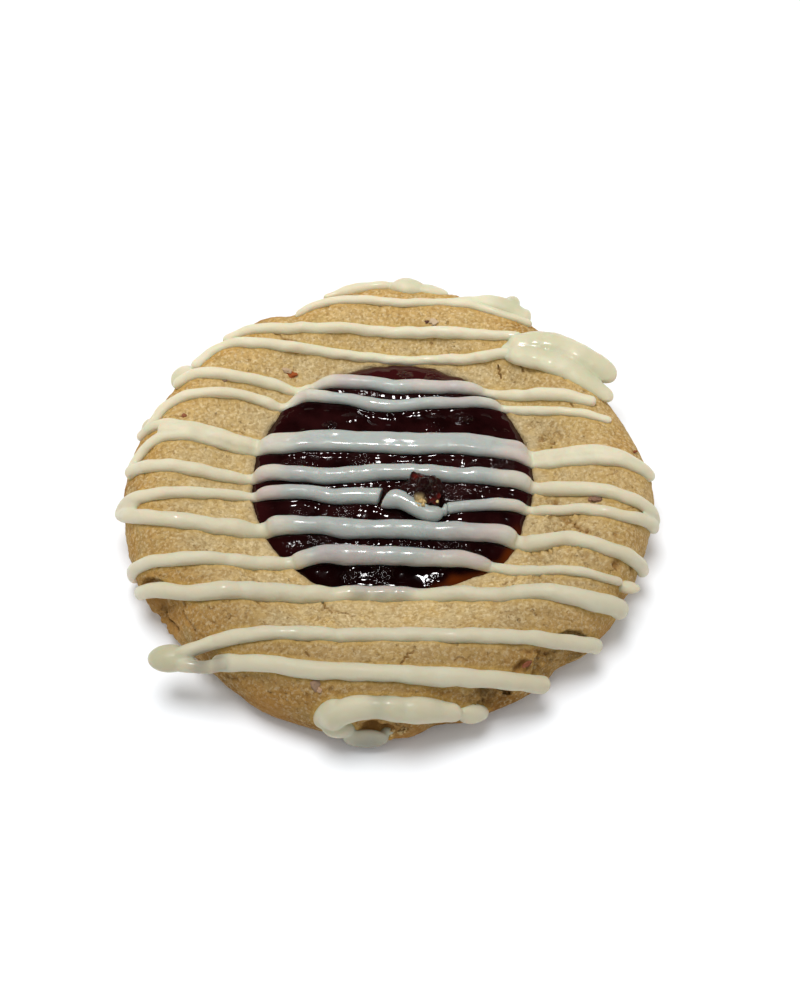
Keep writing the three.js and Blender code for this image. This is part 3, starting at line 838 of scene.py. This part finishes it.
def piped(name, widths, route, flatness=BEAD_FLATNESS):
    """One line of icing, a tube bent along its route with round or broken ends."""
    hangs = len(route[0]) == 3
    places, length = smooth_route(route, ROW_SPACING)
    rests = [(place, UP) if hangs else drape(*place.xy) for place in places]
    if name in LEADS:
        lead, extra = smooth_route((*LEADS[name], rests[0][0]), ROW_SPACING)
        rests = [(place, UP.lerp(rests[0][1], 0.5)) for place in lead[:-1]] + rests
        length += extra
    cuts = CUTS.get(name, (None, None))
    seed = Vector((len(name) * 3.7, ord(name[-1]) * 1.3, 0))
    start = widths[0] / 2 if cuts[0] is None else 0
    end = widths[-1] / 2 if cuts[1] is None else 0

    def at(distance):
        share = clamp01(distance / length) * (len(rests) - 1)
        index = min(int(share), len(rests) - 2)
        (p0, o0), (p1, o1) = rests[index], rests[index + 1]
        return p0.lerp(p1, share - index), o0.lerp(o1, share - index).normalized()

    rows = []
    for distance in row_distances(length, start, end):
        nearest = min(max(distance, 0), length)
        past = distance - nearest
        reach = start if past < 0 else end
        slim = sqrt(max(0.001, 1 - (past / reach) ** 2)) if reach else 1
        place, out = at(distance)
        ahead = (at(nearest + 0.4)[0] - at(nearest - 0.4)[0]).normalized()
        side = ahead.cross(out).normalized()
        along = UP * distance + seed
        radius = nominal_radius(*place.xy)
        lies = 0 if hangs else 1 - ease(radius, SHORE - 1.8, SHORE + 0.3)
        dip = 0 if hangs else exp(-(((radius - SHORE - 0.7) / 1.3) ** 2))
        width = even_reading(widths, distance / length)
        width *= 1 + WIDTH_WANDER * waver(along, 0.16) + WIDTH_WANDER * waver(along, 0.45)
        width *= 1 + lies * SWELLS.get(name, 0) - SHORE_THINNING * dip
        sway = (0.16 + 0.14 * lies) * waver(along, 0.28, 9, 0, 0)
        lift = width * BEAD_LIFT + JAM_LIFT * lies - SHORE_SAG * dip
        slant = sum(
            cut * clamp01(1 - away / CUT_REACH)
            for cut, away in zip(cuts, (distance, length - distance)) if cut is not None
        )
        rows.append((
            place + side * sway + out * lift + ahead * past, ahead * slant,
            side * slim * width / 2, out * slim * width * flatness,
        ))
    form = bmesh.new()
    bmesh.ops.create_cone(
        form, cap_ends=True, segments=BEAD_SIDES, radius1=1, radius2=1, depth=1,
    )
    upright = [edge for edge in form.edges if abs(edge.verts[0].co.z - edge.verts[1].co.z) > 0.5]
    bmesh.ops.subdivide_edges(form, edges=upright, cuts=len(rows) - 2)
    for vert in form.verts:
        middle, slant, side, rise = rows[round((vert.co.z + 0.5) * (len(rows) - 1))]
        vert.co = middle + (side + slant) * vert.co.x + rise * vert.co.y
    bmesh.ops.recalc_face_normals(form, faces=form.faces[:])
    return form


def spot(middle, half, height, turn):
    """A drop of icing, flat below and draped over the surface."""
    form = ball(4)
    ahead, aside = cos(radians(turn)), sin(radians(turn))
    for vert in form.verts:
        x = middle[0] + half[0] * vert.co.x * ahead - half[1] * vert.co.y * aside
        y = middle[1] + half[0] * vert.co.x * aside + half[1] * vert.co.y * ahead
        place, out = (Vector((x, y, middle[2])), UP) if len(middle) == 3 else drape(x, y)
        vert.co = place + out * height * vert.co.z
    return form


def gathered(forms):
    """One form that holds all the others."""
    whole = bmesh.new()
    for form in forms:
        part = mesh_of(form, "part")
        whole.from_mesh(part)
        bpy.data.meshes.remove(part)
    return whole


def melted(form, slump):
    """Runs touching pieces together into one soft skin."""
    mesh = mesh_of(form, "draft")
    draft = placed("draft", mesh)
    remesh = draft.modifiers.new("melt", "REMESH")
    remesh.mode = "VOXEL"
    remesh.voxel_size = ICING_VOXEL
    smooth = draft.modifiers.new("slump", "SMOOTH")
    smooth.factor = 0.5
    smooth.iterations = slump
    shape = draft.evaluated_get(bpy.context.evaluated_depsgraph_get())
    result = bmesh.new()
    result.from_mesh(shape.to_mesh())
    shape.to_mesh_clear()
    bpy.data.objects.remove(draft)
    bpy.data.meshes.remove(mesh)
    return result


def icing_form(lines, spots, flatness=BEAD_FLATNESS, slump=5):
    forms = [piped(name, *line, flatness) for name, line in lines.items()]
    forms += [spot(*drop) for drop in spots]
    form = melted(gathered(forms), slump)
    marked(form, tree_of([vert.co for vert in form.verts]), thick=THICK_AND_SHADED, thin=THIN)
    on_jam, greyed, blush, deep = stored(form, "on_jam", "greyed", "blush", "deep")
    for vert in form.verts:
        # Painted shade: icing towards the front is darkened.
        vert[deep] = painted_shade_side(vert.co)
        if hypot(vert.co.x - JAM_X, vert.co.y - JAM_Y) > SHORE + 3:
            continue
        radius = nominal_radius(*vert.co.xy)
        lies = 1 - ease(radius, SHORE - 1, SHORE + 0.8)
        cloud = waver(vert.co, 0.13, 2, 5, 1) * 6
        patch = ease(waver(vert.co, 0.16, 6, 1, 3), -0.05, 0.3)
        vert[on_jam] = lies
        vert[greyed] = lies * (1 - ease(radius + cloud, SHORE - 6, SHORE))
        vert[blush] = lies * ease(radius, SHORE - 10, SHORE - 2) * patch
    return form


# ---- Finishes ----


def wired(tree, kind, sockets, **settings):
    """A new node with its settings, and a value, a colour or a link for each socket."""
    node = tree.nodes.new("ShaderNode" + kind)
    for name, value in settings.items():
        setattr(node, name, value)
    for key, value in sockets.items():
        if isinstance(value, bpy.types.NodeSocket):
            tree.links.new(value, node.inputs[key])
        elif value is not None:
            node.inputs[key].default_value = (*value, 1) if isinstance(value, tuple) else value
    return node


def figured(tree, operation, a, b=0, c=None, clamp=False):
    sockets = {0: a, 1: b, 2: c}
    return wired(tree, "Math", sockets, operation=operation, use_clamp=clamp).outputs[0]


def scaled(tree, value, share):
    return figured(tree, "MULTIPLY", value, share)


def mottle_group():
    """Shared unevenness: smooth random patches of a given size, from 0 to 1."""
    tree = bpy.data.node_groups.new("mottle", "ShaderNodeTree")
    for name in ("Size mm", "Detail", "Grit", "Low", "High", "Amount"):
        way = "OUTPUT" if name == "Amount" else "INPUT"
        tree.interface.new_socket(name, in_out=way, socket_type="NodeSocketFloat")
    given = tree.nodes.new("NodeGroupInput").outputs
    cloud = wired(tree, "TexNoise", {
        "Vector": wired(tree, "TexCoord", {}).outputs["Object"],
        "Scale": figured(tree, "DIVIDE", 1 / MM, given["Size mm"]),
        "Detail": given["Detail"], "Roughness": given["Grit"],
    })
    spread = wired(tree, "MapRange", {
        "Value": cloud.outputs[0], "From Min": given["Low"], "From Max": given["High"],
    })
    tree.links.new(spread.outputs[0], tree.nodes.new("NodeGroupOutput").inputs["Amount"])
    return tree


MOTTLE = mottle_group()


def mottle(tree, size, detail=2, low=0.3, high=0.7, grit=0.5):
    settings = {"Size mm": size, "Detail": detail, "Grit": grit, "Low": low, "High": high}
    return wired(tree, "Group", settings, node_tree=MOTTLE).outputs["Amount"]


def cells_of(tree, size):
    """Irregular cells of a size in millimetres."""
    place = wired(tree, "TexCoord", {}).outputs["Object"]
    return wired(tree, "TexVoronoi", {"Scale": 1 / MM / size, "Vector": place})


def reading(tree, name):
    """A value stored on the piece's surface."""
    return wired(tree, "Attribute", {}, attribute_name=name).outputs["Fac"]


def coated(tree, colour, *coats):
    """Colour under coats: what each follows, its share, its colour and perhaps how it blends."""
    for guide, share, over, *blend in coats:
        amount = reading(tree, guide) if isinstance(guide, str) else guide
        if share != 1:
            amount = figured(tree, "MULTIPLY", amount, share, clamp=True)
        colour = wired(
            tree, "Mix", {0: amount, 6: colour, 7: over},
            data_type="RGBA", blend_type=blend[0] if blend else "MIX",
        ).outputs[2]
    return colour


def bumped(tree, height, distance, below=None):
    sockets = {"Strength": 1, "Distance": distance * MM, "Height": height, "Normal": below}
    return wired(tree, "Bump", sockets).outputs["Normal"]


def finish_of(name, look=None, **sockets):
    """A finish from plain values and from the sources that its look gives for some sockets."""
    finish = bpy.data.materials.new(name)
    finish.use_nodes = True
    tree = finish.node_tree
    shader = tree.nodes["Principled BSDF"]
    for key, value in sockets.items():
        shader.inputs[key.replace("_", " ")].default_value = value
    for key, source in (look(tree) if look else {}).items():
        tree.links.new(source, shader.inputs[key])
    return finish


# How the dough browns, from pale to well baked.
TOASTING = (
    (0, (0.68, 0.525, 0.275)), (0.35, (0.715, 0.5, 0.215)), (0.75, (0.67, 0.405, 0.125)),
    (1, (0.51, 0.27, 0.062)),
)


def dough_look(tree):
    shift = figured(tree, "MULTIPLY_ADD", mottle(tree, 7, 3), 0.4, -0.2)
    # The browning includes painted light that leaves the right side paler.
    toast = figured(tree, "ADD", reading(tree, "browning_and_painted_light"), shift, clamp=True)
    ramp = wired(tree, "ValToRGB", {0: toast})
    while len(ramp.color_ramp.elements) < len(TOASTING):
        ramp.color_ramp.elements.new(0.5)
    for element, (place, colour) in zip(ramp.color_ramp.elements, TOASTING):
        element.position = place
        element.color = (*colour, 1)
    sugar = cells_of(tree, 0.42).outputs["Color"]
    specks = mottle(tree, 1.1, 2, 0.66, 0.76)
    colour = coated(
        tree, ramp.outputs[0],
        (mottle(tree, 3.5, 2, 0.45, 0.7), 1, (0.68, 0.485, 0.2)),
        (sugar, 1, (0.62, 0.55, 0.44), "MULTIPLY"),
        (mottle(tree, 0.5, 2, 0.5, 0.68, 0.6), 0.55, (0.86, 0.71, 0.44)),
        (mottle(tree, 1.9, 3, 0.6, 0.8), 0.4, (0.46, 0.25, 0.07)),
        (specks, 0.6, (0.37, 0.2, 0.055)),
        # painted shade towards the front
        ("deep", 1, (0.58, 0.55, 0.52), "MULTIPLY"),
        ("torn", 0.3, (0.33, 0.19, 0.06)),
        ("crust", 0.7, (0.38, 0.18, 0.042)),
        ("damp", 0.4, (0.5, 0.4, 0.24)),
        # painted warm shade beside the icing
        ("painted_icing_shade", 0.42, (0.59, 0.38, 0.1)),
        # painted shade in cracks, pits and hollows
        ("shaded_hollow", 0.8, (0.31, 0.155, 0.04)),
    )
    pitted = bumped(tree, scaled(tree, specks, -1), 0.18)
    coarse = bumped(tree, mottle(tree, 0.7, 4, 0.2, 0.8, 0.7), 0.28, pitted)
    return {"Base Color": colour, "Normal": bumped(tree, sugar, 0.08, coarse)}


def jam_look(tree):
    colour = coated(
        tree, (0.006, 0.001, 0.0011),
        (mottle(tree, 3, 3), 1, (0.019, 0.0036, 0.0038)),
        ("edge", 1, (0.042, 0.0055, 0.006)),
        # painted shade on the front of the jam
        ("deep", 1, (0.3, 0.25, 0.25), "MULTIPLY"),
        ("thin_edge", 0.9, (0.095, 0.017, 0.002)),
    )
    wrinkled = reading(tree, "wrinkled")
    bubbles = figured(tree, "PINGPONG", cells_of(tree, 1.4).outputs["Distance"], 0.25)
    ripples = bumped(tree, scaled(tree, bubbles, wrinkled), 0.35)
    pulp = scaled(tree, mottle(tree, 0.9, 3, 0.2, 0.8), wrinkled)
    return {"Base Color": colour, "Normal": bumped(tree, pulp, 0.4, ripples)}


def icing_look(tree):
    colour = coated(
        tree, (0.685, 0.63, 0.445),
        (mottle(tree, 6), 1, (0.715, 0.67, 0.495)),
        # thick icing is yellower; the spot on the front drip is painted shade
        ("thick", 1, (0.55, 0.53, 0.35)),
        ("thin", 0.85, (0.28, 0.265, 0.21)),
        ("on_jam", 0.8, (0.57, 0.55, 0.48)),
        ("greyed", 1, (0.42, 0.45, 0.42)),
        ("blush", 0.5, (0.54, 0.43, 0.42)),
        # painted shade towards the front
        ("deep", 1, (0.74, 0.75, 0.75), "MULTIPLY"),
    )
    thick = scaled(tree, reading(tree, "thick"), 0.6)
    wet = figured(tree, "MULTIPLY_ADD", reading(tree, "on_jam"), 0.8, thick, clamp=True)
    dull = scaled(tree, mottle(tree, 5, 1, 0.5, 0.65), 0.42)
    glaze = figured(tree, "ADD", wet, dull, clamp=True)
    soft = bumped(tree, mottle(tree, 1.4, 3, 0.2, 0.8), 0.08)
    return {
        "Base Color": colour,
        "Coat Weight": scaled(tree, glaze, mottle(tree, 3, 2, 0.38, 0.6)),
        "Roughness": figured(tree, "MULTIPLY_ADD", wet, -0.2, 0.48),
        "Normal": bumped(tree, mottle(tree, 3.2, 1, 0.2, 0.8), 0.22, soft),
    }


def lump_look(tree):
    colour = coated(
        tree, (0.01, 0.0025, 0.0025),
        (mottle(tree, 1.2), 1, (0.024, 0.006, 0.005)),
        ("ruby", 1, (0.12, 0.009, 0.006)),
        ("tan", 1, (0.62, 0.46, 0.22)),
    )
    return {"Base Color": colour, "Normal": bumped(tree, mottle(tree, 0.8, 3, 0.2, 0.8), 0.1)}


def nut_look(tree):
    return {"Base Color": coated(
        tree, (0.1, 0.045, 0.03),
        (mottle(tree, 0.9, 2, 0.4, 0.6), 1, (0.2, 0.1, 0.065)),
        ("flesh", 1, (0.56, 0.42, 0.27)),
        ("skin", 1, (0.34, 0.085, 0.022)),
    )}


def crumb_look(tree):
    bare = (mottle(tree, 0.7), 1, (0.62, 0.46, 0.22))
    return {"Base Color": coated(tree, (0.42, 0.27, 0.1), bare)}


# ---- The pieces ----

RUBY_SPOTS = ((3.8, -2.5, 12.9, 1), (5, -2.4, 13.1, 0.8), (6.5, -6.7, 12, 1), (7.6, -5.8, 12, 0.9))
TAN_SPOTS = ((4.5, -6.6, 12.3, 1.4),)


def lump_form():
    """A crumb coated in jam, with crags and a bare broken side."""
    form = ball(6)
    for vert in form.verts:
        out = vert.co.normalized()
        swell = 1 + 0.1 * sin(5 * out.x + 1) * cos(4 * out.y)
        swell += 0.06 * sin(7 * out.z)
        place = Vector(a * b for a, b in zip(out * swell, CRUMB_HALF)) + CRUMB_CENTRE
        crag = abs(waver(place, 0.42, 1, 4, 2)) * 1.5
        ridges = abs(waver(place, 1)) * 0.45
        vert.co = place + out * (crag + ridges - 0.6 + 0.07 * waver(place, 3.1))
    marked(form, tree_of([vert.co for vert in form.verts]), ruby=RUBY_SPOTS, tan=TAN_SPOTS)
    return form


# Bits of nut in the dough: place seen from above, half length and half width, turn in degrees
# and the shares of pale flesh and of red skin.
NUTS = (
    (30.6, -5.6, 0.9, 0.4, -10, 0.1, 0), (29.6, -5.3, 0.45, 0.4, 30, 0.4, 0.3),
    (6.2, 29.5, 0.4, 0.25, 0, 0, 0), (7.3, 29.4, 0.75, 0.6, 20, 1, 0),
    (-15.9, 20.6, 0.9, 0.35, -20, 0.9, 0.1), (-15.1, 20.1, 0.9, 0.4, -8, 0, 1),
    (-30.8, 9.9, 0.45, 0.3, 30, 0.1, 0.5), (-25.1, 17.2, 0.45, 0.3, -15, 0.3, 0),
    (37.6, 4.7, 0.25, 0.2, 0, 0, 0.5), (-9.7, -36.2, 0.8, 0.7, 20, 0.3, 0),
    (-9.2, -37, 0.5, 0.4, 60, 0.5, 0.1), (19.3, -32.9, 0.7, 0.35, 35, 0, 0.35),
    (7.3, -28.4, 0.5, 0.25, -10, 0.8, 0),
)
NUT_RISE = 0.22


def nut_form():
    """All the bits of nut, each bedded in the surface."""
    forms = []
    for number, (x, y, long, wide, turn, pale, red) in enumerate(NUTS):
        form = ball(3)
        flesh, skin = stored(form, "flesh", "skin")
        place, out = drape(x, y)
        ahead = bearing(radians(turn))
        side = out.cross(ahead).normalized()
        for vert in form.verts:
            rough = 1 + 0.8 * waver(vert.co, 1.6, 0, 0, 3 * number)
            along, across, rise = vert.co * rough
            vert[flesh], vert[skin] = pale, red
            vert.co = place + ahead * along * long + side * across * wide + out * rise * NUT_RISE
        forms.append(form)
    return gathered(forms)


# Loose crumbs: middle, how far they are scattered, how many and their half size.
CRUMBS = (
    ((4.5, -6.7, 12.2), 0.6, 14, 0.26), ((7.2, -6.6, 12), 0.1, 2, 0.2),
    ((1.4, -39.6, 4.7), 1.2, 26, 0.24),
)


def crumbs_form(groups, seed):
    """Small rough crumbs that lie in loose groups."""
    draw = random.Random(seed)
    forms = []
    for middle, spread, count, half in groups:
        for _ in range(count):
            form = ball(2)
            away = Vector((draw.gauss(0, 1), draw.gauss(0, 1), draw.gauss(0, 0.3))) * spread * 0.6
            size = half * draw.uniform(0.6, 1.4)
            squash = Vector((draw.uniform(0.7, 1.3), draw.uniform(0.7, 1.3), draw.uniform(0.6, 1)))
            seat = Vector(middle) + away
            for vert in form.verts:
                rough = 1 + 0.9 * waver(vert.co, 1.9, *(seat * 9))
                vert.co = seat + Vector(a * b for a, b in zip(vert.co, squash)) * size * rough
            forms.append(form)
    return gathered(forms)


ICING = finish_of(
    "piped_icing", icing_look, Specular_IOR_Level=0.2, Subsurface_Weight=0.4,
    Subsurface_Scale=0.002, Coat_Roughness=0.14,
)
DOUGH = finish_of("baked_dough", dough_look, Roughness=0.8, Specular_IOR_Level=0.1)
JAM = finish_of("fruit_jam", jam_look, Roughness=0.08, Specular_IOR_Level=0.35)
LUMP = finish_of("jammy_crumb", lump_look, Roughness=0.2, Specular_IOR_Level=0.35)
NUT = finish_of("nut_pieces", nut_look, Roughness=0.7, Specular_IOR_Level=0.1)
CRUMB = finish_of("loose_crumbs", crumb_look, Roughness=0.8, Specular_IOR_Level=0.2)

icing_forms = {
    "icing_back": icing_form(BACK_LINES, BACK_SPOTS),
    "icing_back_drip": icing_form(BACK_DRIP, BACK_DRIP_SPOTS, DRIP_FLATNESS, 16),
    "icing_edge_drip": icing_form(EDGE_DRIP, EDGE_DRIP_SPOTS, DRIP_FLATNESS, 12),
    "icing_middle": icing_form(MIDDLE_LINES, MIDDLE_SPOTS),
    "icing_broken": icing_form(BROKEN_LINES, BROKEN_SPOTS),
    "icing_front": icing_form(FRONT_LINES, FRONT_SPOTS),
}
icing_tree = tree_of([vert.co for form in icing_forms.values() for vert in form.verts])
finished(dough_form(icing_tree), "dough_ring", DOUGH, ["cookie"])
finished(jam_form(icing_tree), "jam_pool", JAM, ["jam"])
for name, form in icing_forms.items():
    nodes = ["cookie"] if name.endswith("drip") else ["cookie", "jam"]
    finished(form, name, ICING, nodes)
finished(lump_form(), "jammy_lump", LUMP, ["jammy_crumb"])
finished(nut_form(), "nut_bits", NUT, ["cookie"])
finished(crumbs_form(CRUMBS[:2], 3), "lump_crumbs", CRUMB, ["jammy_crumb"])
finished(crumbs_form(CRUMBS[2:], 4), "edge_crumbs", CRUMB, ["cookie"])

# ---- Floor, light and camera ----

floor_form = bmesh.new()
bmesh.ops.create_grid(floor_form, x_segments=2, y_segments=2, size=1.5)
floor = placed("floor", mesh_of(floor_form, "floor"))
floor.data.materials.append(finish_of(
    "pale_floor", Base_Color=(0.92, 0.94, 0.97, 1), Roughness=0.9, Specular_IOR_Level=0,
))

world = bpy.data.worlds.new("studio")
scene.world = world
world.use_nodes = True
background = world.node_tree.nodes["Background"]
background.inputs["Color"].default_value = (1, 1, 1, 1)
background.inputs["Strength"].default_value = 0.58
world.cycles_visibility.glossy = False


def add_sun(name, toward, strength, spread, lights=True, mirrored=True):
    """Light from a direction, with the width of its source in degrees."""
    light = bpy.data.lights.new(name, "SUN")
    light.energy = strength
    light.angle = radians(spread)
    lamp = placed(name, light)
    lamp.rotation_euler = Vector(toward).to_track_quat("Z", "Y").to_euler()
    lamp.visible_glossy = mirrored
    lamp.visible_diffuse = lights


add_sun("key_light", (-0.12, 0.14, 0.98), 2.1, 32, mirrored=False)
add_sun("glint_light", (-0.06, 0.2, 0.98), 1.8, 8, lights=False)

TILT = radians(36.8)  # from straight down
DISTANCE = 0.25
TARGET = Vector((0, 0, 0.005))
lens = bpy.data.cameras.new("camera")
lens.sensor_width, lens.lens = 36, 59.8
lens.shift_x, lens.shift_y = 0.012, -0.0061
lens.clip_start = 0.01
camera = placed("camera", lens)
camera.location = TARGET + DISTANCE * Vector((0, -sin(TILT), cos(TILT)))
camera.rotation_euler = (TILT, 0, 0)
scene.camera = camera
scene.view_settings.view_transform = "Standard"
